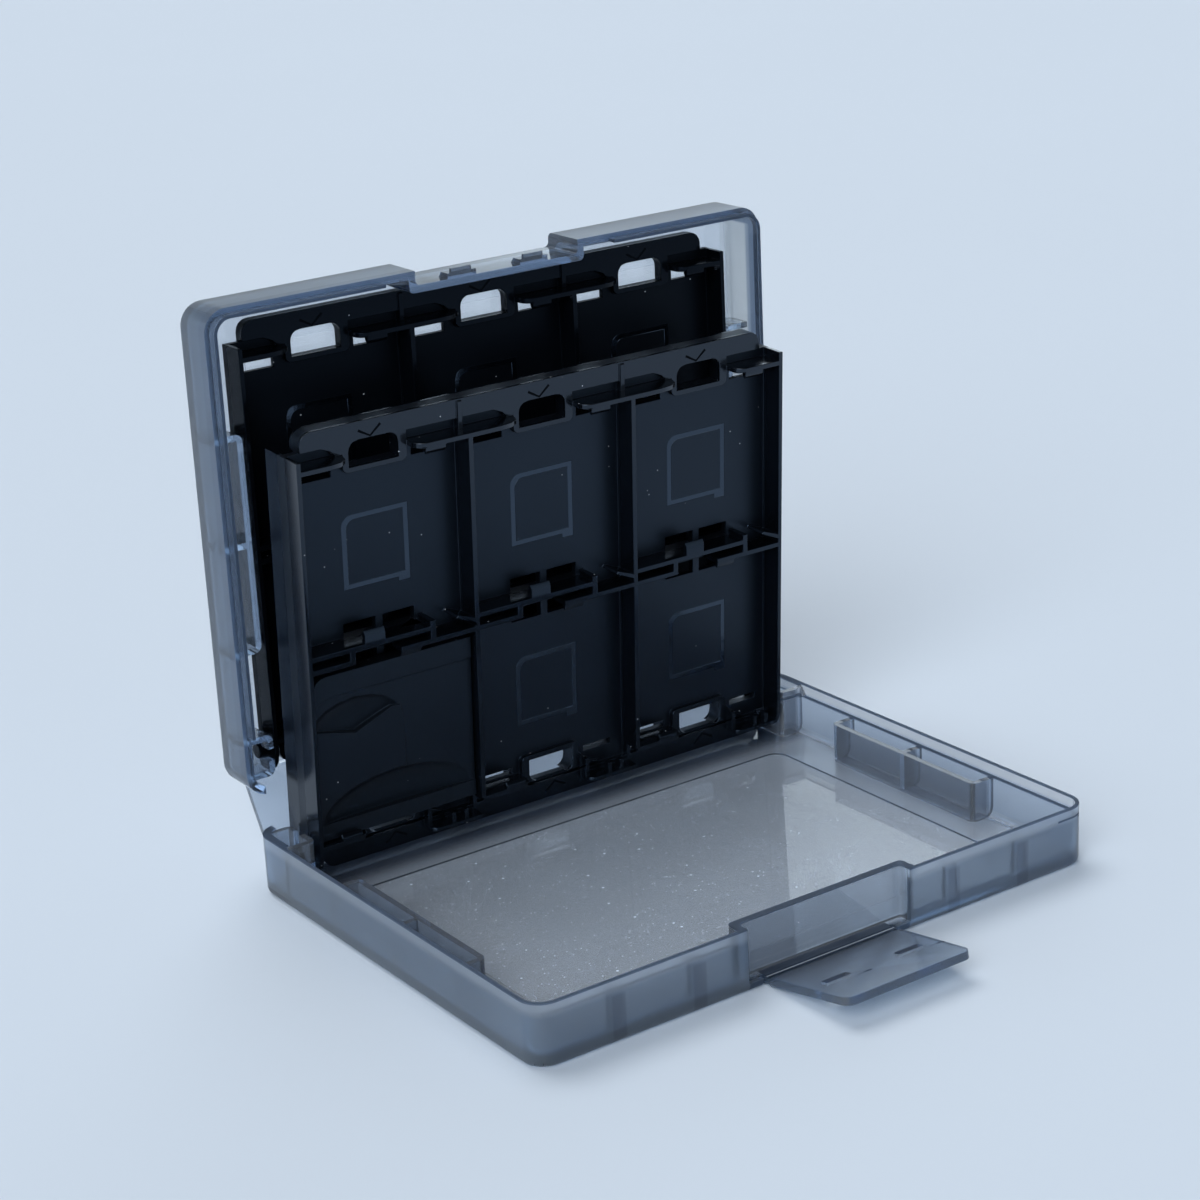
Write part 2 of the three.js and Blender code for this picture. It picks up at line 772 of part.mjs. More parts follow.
// Side walls end round about the pivot at their foot and carry a pin on their outside
function sideWalls(backFace, frontFace, pinY) {
  const pieces = [];
  const radius = (backFace - frontFace) / 2;
  const middle = (backFace + frontFace) / 2;
  const outline = new THREE.Shape();
  outline.moveTo(backFace, halfWall);
  outline.lineTo(frontFace, halfWall);
  outline.lineTo(frontFace, -pivotBelowCentre);
  outline.absellipse(middle, -pivotBelowCentre, radius, footDrop, Math.PI, 2 * Math.PI, false, 0);
  outline.closePath();
  const pinLength = pinReach + trayWall;
  for (const side of [-1, 1]) {
    const x = side > 0 ? trayHalf - trayWall : -trayHalf;
    const pin = new THREE.CylinderGeometry(pinRadius, pinRadius, pinLength, 16);
    pin.rotateZ(Math.PI / 2).translate(side * (trayHalf - trayWall + pinLength / 2), pinY, -pivotBelowCentre);
    pieces.push(drawn(outline, x, x + trayWall), pin);
  }
  return pieces;
}

function pageBody() {
  const plateHalf = pagePlate / 2;
  const back = traySide(plateHalf).map((piece) => piece.rotateZ(Math.PI));
  const walls = sideWalls(pageHalf, -pageHalf, 0);
  const whole = join([...trayPlate(plateHalf), ...walls, ...traySide(plateHalf), ...back]);
  return cut(whole, trayOpenings(plateHalf)).translate([0, 0, pivotBelowCentre]);
}

function lidTrayBody() {
  const plateHalf = lidPlate / 2;
  const walls = sideWalls(plateHalf, -plateHalf - slotDepth, plateHalf - lidPinDepth);
  const whole = join([...trayPlate(plateHalf), ...walls, ...traySide(plateHalf)]);
  return cut(whole, trayOpenings(plateHalf)).translate([0, 0, pivotBelowCentre]);
}

// A shallow bowl in the adapter's face, half an ellipsoid about a point of that face
function fingerScoop(x, y, z, width, rise) {
  return solid(new THREE.SphereGeometry(1, 20, 10).scale(width / 2, scoopDepth, rise).translate(x, y, z));
}

// Card adapter, drawn in the page's frame so that it fills the lower slot of the left column. Its
// band, grip and bar stand a little proud, and a finger scoop ends at the grip and one at the bar.
function adapterBody() {
  const left = -trayHalf + trayWall + clearance;
  const right = columnEdges[1] - divider / 2 - clearance;
  const low = pivotBelowCentre - lipGap + clearance;
  const back = -pagePlate / 2 - clearance;
  const top = low + adapterHeight;
  const front = back - adapterPlate;
  const raised = front - adapterRise;
  const outline = rounded(left, right, low, top, [0, 0, 0, adapterCorner]);
  const bandLow = top - adapterBand;
  const band = new THREE.Shape();
  band.moveTo(left, bandLow - bandSweep);
  band.quadraticCurveTo(left, bandLow, left + bandSweep, bandLow);
  band.lineTo(right, bandLow);
  band.lineTo(right, top);
  band.lineTo(left + adapterCorner, top);
  band.absarc(left + adapterCorner, top - adapterCorner, adapterCorner, Math.PI / 2, Math.PI, false);
  band.closePath();
  const gripRight = left + gripWidth;
  const knee = low + gripHeight;
  const grip = new THREE.Shape();
  grip.moveTo(left, low);
  grip.lineTo(gripRight, low);
  grip.lineTo(gripRight, knee);
  const crest = knee + gripDip + gripPeak / 2;
  grip.quadraticCurveTo(gripRight, crest + gripPeak / 2, gripRight - gripCrest, crest);
  grip.lineTo(left + gripKnee, knee);
  grip.lineTo(left, knee + gripDip);
  grip.closePath();
  const gripProud = solid(face(grip, raised, front + weld));
  const barTop = low + adapterBar;
  const bar = solid(box(left, right, raised, front + weld, low, barTop));
  const gripScoop = fingerScoop(left + gripKnee, raised, knee, gripScoopWidth, gripScoopRise)
    .subtract(solid(face(grip, raised - scoopDepth, back)));
  const footScoop = fingerScoop((left + right) / 2, raised, barTop, footScoopWidth, footScoopRise)
    .subtract(solid(box(left, right, raised - scoopDepth, back, low - footScoopRise, barTop)));
  const body = join([face(outline, front, back), face(band, raised, front + weld)])
    .add(gripProud)
    .add(bar)
    .subtract(gripScoop)
    .subtract(footScoop);
  const tabTop = pivotBelowCentre - windowBase + windowRim + lowerWindowLift + clearance;
  const tabRelief = box(
    columnCentres[0] - tabRight - clearance,
    columnCentres[0] + tabLeft + flankReach / 4,
    back - panelRise,
    back + weld,
    low - weld,
    tabTop,
  );
  return cut(body, [tabRelief]);
}

// Materials
const smoke = { color: 0x8f9aa6, roughness: 0.35, metalness: 0, transparent: true, opacity: 0.55 };
const black = { color: 0x0c0e12, roughness: 0.4, metalness: 0 };

function smokePlastic() {
  return new THREE.MeshStandardMaterial(smoke);
}

function blackPlastic() {
  return new THREE.MeshStandardMaterial(black);
}

// Assembly: every moving piece hangs on its own hinge
const cardCase = new THREE.Group();
cardCase.add(meshOf(baseBody(), 'base_shell', smokePlastic()));

const spineHinge = new THREE.Group();
spineHinge.position.set(0, spineAxis, hingeInset);
spineHinge.rotation.x = -spineLean * degrees;
spineHinge.add(meshOf(spineBody(), 'spine', smokePlastic()));
cardCase.add(spineHinge);

const lidHinge = new THREE.Group();
lidHinge.position.set(0, 0, spineLength);
lidHinge.rotation.x = spineLean * degrees;
spineHinge.add(lidHinge);

const lidMesh = meshOf(lidBody(), 'lid_shell', smokePlastic());
lidMesh.rotation.set(Math.PI / 2, 0, Math.PI, 'XYZ');
lidMesh.position.set(0, hingeInset, caseDepth / 2 - hingeInset);
lidHinge.add(lidMesh);

const lidTray = meshOf(lidTrayBody(), 'lid_tray', blackPlastic());
lidTray.position.set(
  0,
  hingeInset - shellWall - clearance - lidPlate / 2,
  lidTrayHingeMargin - hingeInset,
);
lidHinge.add(lidTray);

const pagePivot = new THREE.Group();
pagePivot.position.set(0, pagePivotBack, pagePivotHeight);
pagePivot.rotation.x = pageLean * degrees;
pagePivot.add(meshOf(pageBody(), 'page_tray', blackPlastic()));
pagePivot.add(meshOf(adapterBody(), 'card_adapter', blackPlastic()));
cardCase.add(pagePivot);

const flapHinge = new THREE.Group();
flapHinge.position.set(0, -flapAxis, flapAxisHeight);
flapHinge.rotation.x = (90 - flapRaise) * degrees;
flapHinge.add(meshOf(flapBody(), 'latch_flap', smokePlastic()));
cardCase.add(flapHinge);

export default cardCase;
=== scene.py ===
# %% [markdown]
# # A hinged card case, standing open
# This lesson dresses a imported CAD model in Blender. The case has a smoky see-through base and lid
# that fold on a spine strip, a black card tray in the lid, a black double-sided card page that
# swings up out of the base, an adapter in one of its slots, and a small latch flap. The solids
# arrive in their places, so the work here is the view, the light, the plastics and the finest
# moulded marks.

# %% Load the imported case
from math import cos, radians, sin

import bmesh
import bpy
from mathutils import Matrix, Vector


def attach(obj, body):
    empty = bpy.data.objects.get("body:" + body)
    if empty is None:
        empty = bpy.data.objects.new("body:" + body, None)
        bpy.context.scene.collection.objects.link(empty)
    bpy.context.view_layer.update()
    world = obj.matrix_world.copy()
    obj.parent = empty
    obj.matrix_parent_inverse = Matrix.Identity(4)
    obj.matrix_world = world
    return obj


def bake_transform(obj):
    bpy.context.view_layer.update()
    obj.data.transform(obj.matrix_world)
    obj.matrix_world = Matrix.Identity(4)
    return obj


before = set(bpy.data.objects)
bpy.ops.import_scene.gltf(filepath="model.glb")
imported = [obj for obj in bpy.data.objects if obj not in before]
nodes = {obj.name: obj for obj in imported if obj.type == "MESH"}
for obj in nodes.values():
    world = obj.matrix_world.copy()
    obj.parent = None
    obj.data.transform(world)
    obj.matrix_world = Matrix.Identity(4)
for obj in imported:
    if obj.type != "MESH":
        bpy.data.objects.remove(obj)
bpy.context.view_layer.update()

MM = 0.001
print("pieces from the CAD model:", ", ".join(sorted(nodes)))

# %% [markdown]
# ## The camera
# The view is from the left front, looking down on the case. A camera can be aimed with a constraint,
# but here three turns say it exactly: yaw swings it about the vertical, pitch tips it down and roll
# leans it a little. The lens is long, so the edges hardly converge.

# %% Camera
CAMERA_AT = (-0.2788, -0.3858, 0.2227)
YAW, PITCH, ROLL = radians(34.53), radians(19.32), radians(-2.87)
LENS = 82.64
SENSOR = 36

level = Vector((cos(YAW), -sin(YAW), 0))
ahead = Vector((sin(YAW) * cos(PITCH), cos(YAW) * cos(PITCH), -sin(PITCH)))
above_view = level.cross(ahead)
right = level * cos(ROLL) + above_view * sin(ROLL)
upward = above_view * cos(ROLL) - level * sin(ROLL)

camera_data = bpy.data.cameras.new("view")
camera_data.lens = LENS
camera_data.sensor_width = SENSOR
camera = bpy.data.objects.new("view", camera_data)
turn = Matrix((right, upward, -ahead)).transposed()
camera.matrix_world = Matrix.Translation(CAMERA_AT) @ turn.to_4x4()
bpy.context.collection.objects.link(camera)
bpy.context.scene.camera = camera
bpy.context.scene.view_settings.view_transform = "Standard"
print("camera turned", [round(v, 3) for v in camera.matrix_world.to_euler()])

# %% [markdown]
# ## Helpers for node trees
# Every finish below is a tree of nodes, and a script that places them one by one gets long. These
# helpers keep the cells short: they fill a node's inputs by name, and add a node, a piece of
# arithmetic, a soft step or a mix of two colours.


# %% Node helpers
COLOUR_A, COLOUR_B, COLOUR_OUT = 6, 7, 2  # sockets of a Mix node that mixes colours


def fill(tree, socket, value):
    """Links another node's output to a socket, or sets a plain value on it."""
    if isinstance(value, bpy.types.NodeSocket):
        tree.links.new(value, socket)
    else:
        socket.default_value = value


def fill_all(tree, node, **inputs):
    """Fills a node's inputs by name, with _ for each space."""
    for name, value in inputs.items():
        fill(tree, node.inputs[name.replace("_", " ")], value)


def put(tree, kind, options=None, **inputs):
    """Adds a node, sets its options and fills its inputs."""
    node = tree.nodes.new(kind)
    for name, value in (options or {}).items():
        setattr(node, name, value)
    fill_all(tree, node, **inputs)
    return node


def maths(tree, operation, *values, clamp=False):
    """The result of a Math node on one, two or three values."""
    node = put(tree, "ShaderNodeMath", {"operation": operation, "use_clamp": clamp})
    for socket, value in zip(node.inputs, values):
        fill(tree, socket, value)
    return node.outputs[0]


def ramp(tree, value, start, end, low=0.0, high=1.0):
    """Maps a value from start..end to low..high with soft ends."""
    node = put(tree, "ShaderNodeMapRange", {"interpolation_type": "SMOOTHSTEP"}, Value=value,
               From_Min=start, From_Max=end, To_Min=low, To_Max=high)
    return node.outputs["Result"]


def mix_colours(tree, factor, first, second, blend="MIX"):
    """Two colours, each plain or linked, mixed by a factor."""
    node = put(tree, "ShaderNodeMix", {"data_type": "RGBA", "blend_type": blend}, Factor=factor)
    for socket, colour in ((COLOUR_A, first), (COLOUR_B, second)):
        linked = isinstance(colour, bpy.types.NodeSocket)
        fill(tree, node.inputs[socket], colour if linked else (*colour, 1))
    return node.outputs[COLOUR_OUT]


print("node helpers ready")

# %% [markdown]
# ## Starting a material
# Each material starts in the same way: a Principled shader, and the place on the piece. Object
# coordinates give that place in metres, and because they belong to the piece, a finish stays where it
# is when a joint turns. An effect that several materials share becomes a node group, so two more
# helpers make a group with named sockets and place it in a tree with its own values.


# %% Material and group helpers
FLOAT, VECTOR = "NodeSocketFloat", "NodeSocketVector"
MM_PER_M = 1000.0


def new_material(name):
    """A new material, with its tree, its shader and the place on the piece."""
    material = bpy.data.materials.new(name)
    material.use_nodes = True
    tree = material.node_tree
    at = put(tree, "ShaderNodeTexCoord").outputs["Object"]
    return material, tree, tree.nodes["Principled BSDF"], at


def shader_group(name, inputs, outputs):
    """An empty shader node group with named sockets. Returns it with its two end nodes."""
    group = bpy.data.node_groups.new(name, "ShaderNodeTree")
    for label, kind, value in inputs:
        socket = group.interface.new_socket(label, in_out="INPUT", socket_type=kind)
        if value is not None:
            socket.default_value = value
    for label in outputs:
        group.interface.new_socket(label, in_out="OUTPUT", socket_type=FLOAT)
    return group, group.nodes.new("NodeGroupInput"), group.nodes.new("NodeGroupOutput")


def place(tree, group, **inputs):
    """Puts a shader group into a material."""
    return put(tree, "ShaderNodeGroup", {"node_tree": group}, **inputs)


def scale_for(tree, length):
    """The scale of a texture whose cells measure this length in millimetres."""
    return maths(tree, "DIVIDE", MM_PER_M, length)


print("materials measure in mm,", MM_PER_M, "to the metre")

# %% [markdown]
# ## The table and the light
# The case lies on a pale blue-grey table that runs out of the picture, under light so soft that the
# shadows hardly have an edge. One wide plane makes the table. Lamps would be the usual light, but
# their shadow rays stop at see-through plastic as if it were solid. So the world itself is the
# studio: one wide softbox high behind the case, one at the front left, a small low one at the back
# right, and bluish walls low down. The small box is what the polished floor of the base mirrors.

# %% Table
TABLE_HALF = 6.0
TABLE_DROP = 0.0001
TABLE_TONES = ((0.616, 0.680, 0.768), (0.632, 0.698, 0.790))
TABLE_CORNERS = ((-1, -1), (1, -1), (1, 1), (-1, 1))

table_mesh = bpy.data.meshes.new("table")
corners = [(x * TABLE_HALF, y * TABLE_HALF, -TABLE_DROP) for x, y in TABLE_CORNERS]
table_mesh.from_pydata(corners, [], [(0, 1, 2, 3)])
table = bpy.data.objects.new("table", table_mesh)
bpy.context.collection.objects.link(table)

table_paint, tree, paint, at = new_material("pale table")
mottle = put(tree, "ShaderNodeTexNoise", Vector=at, Scale=3.0, Detail=3.0)
tone = mix_colours(tree, mottle.outputs["Fac"], *TABLE_TONES)
fill_all(tree, paint, Base_Color=tone, Roughness=0.75, Specular_IOR_Level=0.15)
table_mesh.materials.append(table_paint)
print("table", 2 * TABLE_HALF, "m wide")

# %% World
SOFTBOXES = (  # compass angle and height in degrees, glow, where its edge fades
    (90, 60, 4.45, (0.88, 0.99)),
    (215, 35, 5.9, (0.88, 0.99)),
    (49, 25, 1.6, (0.955, 0.992)),
)
ROOM_GLOW = 0.03
WALL_GLOW = 0.75
WALL_TOP = (0.20, 0.45)
WALL_COLOUR = (0.78, 0.90, 1.0)
LAMP_COLOUR = (0.96, 0.985, 1.0)
HUE_FADE = (0.45, 0.60)

world = bpy.data.worlds.new("soft room")
bpy.context.scene.world = world
world.use_nodes = True
tree = world.node_tree
toward = put(tree, "ShaderNodeTexCoord").outputs["Generated"]
height = put(tree, "ShaderNodeSeparateXYZ", Vector=toward).outputs["Z"]
glow = ramp(tree, height, *WALL_TOP, ROOM_GLOW + WALL_GLOW, ROOM_GLOW)
for compass, lift, strength, fade in SOFTBOXES:
    compass, lift = radians(compass), radians(lift)
    facing = put(tree, "ShaderNodeVectorMath", {"operation": "DOT_PRODUCT"})
    fill(tree, facing.inputs[0], toward)
    box_way = (cos(compass) * cos(lift), sin(compass) * cos(lift), sin(lift))
    fill(tree, facing.inputs[1], box_way)
    glow = maths(tree, "ADD", glow, ramp(tree, facing.outputs["Value"], *fade, 0.0, strength))
hue = mix_colours(tree, ramp(tree, height, *HUE_FADE), WALL_COLOUR, LAMP_COLOUR)
fill_all(tree, tree.nodes["Background"], Color=hue, Strength=glow)
print(len(SOFTBOXES), "softboxes, walls at", ROOM_GLOW + WALL_GLOW)

# %% [markdown]
# ## Shared surface effects
# Used plastic is never quite clean or quite flat. Three effects turn up on several pieces: dust
# specks, hair-fine scratches and the faint grain that a mould leaves. Each is a node group that puts
# out a mask or a height, and every material then decides what to do with it. Lengths come in as
# millimetres, and the groups turn them into texture scales.


# %% Dust specks
SPECK_CORE = 0.5  # part of a speck's size that is fully covered
SPECK_STRENGTH = (0.7, 0.3)  # spread and least strength


def make_dust():
    group, given, result = shader_group(
        "Dust specks",
        [("Vector", VECTOR, None), ("Spacing", FLOAT, 2.0), ("Size", FLOAT, 0.1),
         ("Share", FLOAT, 0.2)],
        ["Mask"],
    )
    scale = scale_for(group, given.outputs["Spacing"])
    cells = put(group, "ShaderNodeTexVoronoi", Vector=given.outputs["Vector"], Scale=scale)
    reach = maths(group, "DIVIDE", given.outputs["Size"], given.outputs["Spacing"])
    core = maths(group, "MULTIPLY", reach, SPECK_CORE)
    spot = ramp(group, cells.outputs["Distance"], core, reach, 1.0, 0.0)
    draw = put(group, "ShaderNodeSeparateColor", Color=cells.outputs["Color"])
    chosen = maths(group, "LESS_THAN", draw.outputs["Red"], given.outputs["Share"])
    strength = maths(group, "MULTIPLY_ADD", draw.outputs["Green"], *SPECK_STRENGTH)
    mask = maths(group, "MULTIPLY", spot, maths(group, "MULTIPLY", chosen, strength))
    fill_all(group, result, Mask=mask)
    return group


dust = make_dust()
print("group:", dust.name)


# %% Fine scratches
SCRATCH_WAYS = ((20, 3.1), (-55, 7.7), (83, 12.3))  # angle in degrees and seed
SCRATCH_STRETCH = (1.0, 9.0, 1.0)
LINE_SHARE = 8.0  # turns a width into the part of the noise's swing that makes a line
PATCH_SCALE = 90.0
PATCH_EDGE = (0.5, 0.62)


def make_scratches():
    group, given, result = shader_group(
        "Fine scratches",
        [("Vector", VECTOR, None), ("Length", FLOAT, 14.0), ("Width", FLOAT, 0.05)],
        ["Mask"],
    )
    at = given.outputs["Vector"]
    scale = scale_for(group, given.outputs["Length"])
    half = maths(group, "DIVIDE", given.outputs["Width"], LINE_SHARE)
    mask = 0.0
    for angle, seed in SCRATCH_WAYS:
        turned = put(group, "ShaderNodeVectorRotate", {"rotation_type": "Z_AXIS"}, Vector=at,
                     Angle=radians(angle))
        stretch = put(group, "ShaderNodeVectorMath", {"operation": "MULTIPLY"})
        fill(group, stretch.inputs[0], turned.outputs["Vector"])
        fill(group, stretch.inputs[1], SCRATCH_STRETCH)
        wave = put(group, "ShaderNodeTexNoise", {"noise_dimensions": "4D"}, W=seed, Scale=scale,
                   Detail=1.0, Vector=stretch.outputs["Vector"])
        away = maths(group, "ABSOLUTE", maths(group, "SUBTRACT", wave.outputs["Fac"], 0.5))
        line = ramp(group, away, 0.0, half, 1.0, 0.0)
        patch = put(group, "ShaderNodeTexNoise", {"noise_dimensions": "4D"}, W=seed + 1,
                    Scale=PATCH_SCALE, Vector=at)
        broken = ramp(group, patch.outputs["Fac"], *PATCH_EDGE)
        mask = maths(group, "MAXIMUM", mask, maths(group, "MULTIPLY", line, broken))
    fill_all(group, result, Mask=mask)
    return group


scratches = make_scratches()
print("group:", scratches.name)


# %% Mould grain
def make_grain():
    group, given, result = shader_group(
        "Mould grain",
        [("Vector", VECTOR, None), ("Grain size", FLOAT, 0.3), ("Cloud size", FLOAT, 18.0)],
        ["Height", "Cloud"],
    )
    for label, size, detail in (("Height", "Grain size", 2.0), ("Cloud", "Cloud size", 3.0)):
        noise = put(group, "ShaderNodeTexNoise", Vector=given.outputs["Vector"],
                    Scale=scale_for(group, given.outputs[size]), Detail=detail)
        group.links.new(noise.outputs["Fac"], result.inputs[label])
    return group


grain = make_grain()
print("group:", grain.name)

# %% [markdown]
# ## Zones of space
# One moulding can be pale in one place and dark in another: its lip is thin, its ribs are thick and
# its edges are seen along the sheet. Some zones also carry painted light and painted shade, where a
# part of the case is lit or shadowed. Painted masks would need unwrapped pieces. A zone needs only
# limits, in millimetres along the axes of the whole case. Each limit is a soft step, and the product
# of a zone's steps is its mask.


# %% Zones
def above(axis, at, soft):
    """A limit that keeps what lies past a place on an axis."""
    return axis, 1, at, soft


def below(axis, at, soft):
    """A limit that keeps what lies short of a place on an axis."""
    return axis, -1, -at, soft


def between(axis, low, high, soft):
    """Two limits that keep a slice of space."""
    return [above(axis, low, soft), below(axis, high, soft)]


def inside(tree, parts, limits):
    """A mask of the space that all the limits keep."""
    mask = None
    for axis, sign, start, soft in limits:
        along = maths(tree, "MULTIPLY", parts.outputs[axis], sign * MM_PER_M)
        step = ramp(tree, along, start, start + soft)
        mask = step if mask is None else maths(tree, "MULTIPLY", mask, step)
    return mask


print("a slice of space:", between("X", -1.0, 1.0, 0.1))

# %% [markdown]
# ## Smoke plastic
# Base, lid, spine and flap are moulded from one see-through grey plastic. Painting it half
# transparent would make every wall equally dark. A glass shader with an absorbing volume instead
# darkens with the length of the light's way, so thin walls stay pale. Zones then tint what the volume
# alone can't tell: walls, ribs and lips. Some zones are painted light and shade instead: a wall paler
# or darker by the light that reaches it, and painted shadow where the case stands in shade. The
# inside is polished and the outer walls are satin, so satin sides are zones of roughness. Cut edges
# get zones of their own, dark and matt, because on the real case they show as deep blue-grey lines.


# %% Smoke plastic
CLEAR = (0.985, 0.99, 1.0)
NAVY = (0.15, 0.21, 0.31)
SEE_THROUGH = 0.86
PLASTIC_IOR = 1.5
EDGE_ROUGHNESS = 0.9
CLOUD_TINT = (0.80, 0.86, 0.92)
CLOUD_SHARE = 0.15
SATIN_SPREAD = 0.10
SPECK_ROUGHNESS = 0.35
GRAIN_DEPTH = 0.00003
LEAST_TINT = 0.999  # keeps the absorption colour from reaching pure black


def make_smoke(name, zones, edges, satin_sides, absorb, clear=CLEAR, satin=0.32, polish=0.015):
    """zones are (tint, limits), laid over each other. edges are limits that turn dark and matt,
    satin_sides limits that are satin. absorb is the loss per millimetre."""
    material, tree, plastic, at = new_material(name)
    parts = put(tree, "ShaderNodeSeparateXYZ", Vector=at)
    skin = place(tree, grain, Vector=at, Grain_size=0.22, Cloud_size=9.0)
    specks = place(tree, dust, Vector=at, Spacing=2.6, Size=0.13, Share=0.12)
    cloud = skin.outputs["Cloud"]

    colour = clear
    for tint, limits in zones + [(NAVY, limits) for limits in edges]:
        colour = mix_colours(tree, inside(tree, parts, limits), colour, tint)
    share = maths(tree, "MULTIPLY", cloud, CLOUD_SHARE)
    colour = mix_colours(tree, share, colour, CLOUD_TINT, "MULTIPLY")

    satin_mask = 0.0
    for limits in satin_sides:
        satin_mask = maths(tree, "MAXIMUM", satin_mask, inside(tree, parts, limits))
    texture = maths(tree, "MULTIPLY_ADD", cloud, SATIN_SPREAD, satin - polish - SATIN_SPREAD / 2)
    rough = maths(tree, "MULTIPLY_ADD", satin_mask, texture, polish)
    for limits in edges:
        matt = maths(tree, "MULTIPLY", inside(tree, parts, limits), EDGE_ROUGHNESS)
        rough = maths(tree, "MAXIMUM", rough, matt)
    rough = maths(tree, "MULTIPLY_ADD", specks.outputs["Mask"], SPECK_ROUGHNESS, rough, clamp=True)

    height = maths(tree, "MULTIPLY", skin.outputs["Height"], satin_mask)
    relief = put(tree, "ShaderNodeBump", Strength=0.12, Distance=GRAIN_DEPTH, Height=height)
    fill_all(tree, plastic, Base_Color=colour, Roughness=rough, Normal=relief.outputs["Normal"],
             Transmission_Weight=SEE_THROUGH, IOR=PLASTIC_IOR)

    strongest = max(absorb)
    kept = [1 - loss / strongest * LEAST_TINT for loss in absorb]
    smoke = put(tree, "ShaderNodeVolumeAbsorption", Color=(*kept, 1), Density=MM_PER_M * strongest)
    fill_all(tree, tree.nodes["Material Output"], Volume=smoke.outputs["Volume"])
    return material


print("smoke plastic bends light by", PLASTIC_IOR)

# %% [markdown]
# ## Smoke plastic of the base
# The base is the piece that the eye reads most closely: a polished floor, pale inner walls, satin
# outer walls with ribs showing through, thin lips and dark rims. Some of its zones are painted light
# and shade: the right wall is paler for the light that comes through it, the front wall darker for the
# shadowed inside behind it, and painted shadow lies on the floor under the page, along the bottom
# edges and on the ledge before the latch. Its zones are listed from the large to the small, because a
# later zone covers an earlier one.

# %% Base finish
SHELL_LOSS = (0.11, 0.08, 0.048)
PALE = (0.72, 0.78, 0.86)
GREY = (0.56, 0.60, 0.66)
DUSK = (0.45, 0.48, 0.53)
BLUE = (0.44, 0.53, 0.64)
DEEP = (0.35, 0.42, 0.51)
SHADE = (0.24, 0.29, 0.37)
RIB_PLACES = (-46.0, -29.0, 29.0, 46.0)
RIB_REACH = 1.7
OVER_FLOOR = above("Z", 1.7, 0.4)
# the bottom edges, where painted shadow lies
LOW_EDGE = below("Z", 0.45, 0.4)
LIP = above("Z", 9.0, 1.6)

front_ribs = [
    (SHADE, [below("Y", -44.3, 0.3), below("Z", 9.4, 0.8),
             *between("X", x - RIB_REACH, x + RIB_REACH, 0.6)])
    for x in RIB_PLACES
]
floor_step = [*between("Z", 1.23, 1.58, 0.02), *between("X", -51.4, 51.4, 0.1),
              *between("Y", -37.2, 31.4, 0.1)]
base_smoke = make_smoke(
    "smoke plastic of the base",
    [
        (DUSK, [*between("X", 55.2, 60.4, 0.4), OVER_FLOOR]),  # right pocket bracket
        # painted light: the right wall is paler, for the light that comes through it
        (PALE, [above("X", 60.4, 0.4), OVER_FLOOR]),  # right wall
        (GREY, [below("X", -55.2, 0.4), OVER_FLOOR]),  # left wall and its bracket
        (GREY, [below("Y", -42.5, 0.4), OVER_FLOOR]),  # front wall and latch recess
        (BLUE, [below("X", -60.8, 0.5)]),  # outside of the left wall
        # painted shade: the outside of the front wall is darker, for the shadowed inside behind it
        (DEEP, [below("Y", -44.6, 2.2)]),  # outside of the front wall
        *front_ribs,
        (PALE, [LIP, below("X", -60.8, 0.5)]),
        (PALE, [LIP, below("Y", -44.6, 0.5)]),
        (CLEAR, [above("Z", 9.8, 0.3), above("X", 61.0, 0.5)]),  # right lip
        (BLUE, floor_step),
        # painted shadow and painted reflection of the page on the floor under it
        (SHADE, [below("Z", 1.8, 0.2), above("Y", 31.6, 7.0)]),  # floor under the page
        # painted shadow along the bottom edges, where the case meets the table
        (SHADE, [LOW_EDGE, below("Y", -44.4, 0.4)]),
        (SHADE, [LOW_EDGE, below("X", -60.5, 0.5)]),
    ],
    [
        [above("Z", 11.65, 0.2)],  # rim
        [*between("Z", 9.5, 9.9, 0.1), *between("X", 60.5, 62.3, 0.1)],  # ledge in the right rim
        [*between("Z", 9.9, 10.4, 0.1), *between("X", 55.0, 61.4, 0.1)],  # bracket top
        # the ledge before the latch: dark from its plastic and from painted shade between latch wall
        # and flap
        [below("Z", 1.7, 0.3), below("Y", -44.2, 0.3), *between("X", -18.6, 18.6, 0.5)],  # ledge
    ],
    [
        [above("X", 61.9, 0.3)],
        [below("X", -61.9, 0.3)],
        [below("Y", -46.0, 0.3)],
        [below("X", -61.0, 0.15), below("Y", -45.0, 0.15)],
        [above("X", 61.0, 0.15), below("Y", -45.0, 0.15)],
    ],
    SHELL_LOSS,
)
print(base_smoke.name, "loses", SHELL_LOSS, "per mm")

# %% [markdown]
# ## Smoke plastic of lid, spine and flap
# The lid stands upright, so its zones run along other axes: its rim faces the front and its satin
# side looks up. Its right wall is paler with painted light, and the right half of its top darker with
# painted shade for a darker reflection. The spine is one pale sheet. The flap is a thick plate that is
# darker all over, with a steel-blue border where its edges show through.

# %% Lid, spine and flap finish
WARM = (0.82, 0.81, 0.78)
LID_LEFT = (0.28, 0.34, 0.42)
FLAP_CLEAR = (0.54, 0.59, 0.65)
FLAP_BORDER = (0.36, 0.47, 0.62)
FLAP_LOSS = (0.26, 0.18, 0.10)
LID_TOP = above("Z", 108.2, 0.8)
WHOLE_SPINE = [above("Y", 40.0, 1.0)]
WHOLE_FLAP = [below("Y", -40.0, 1.0)]

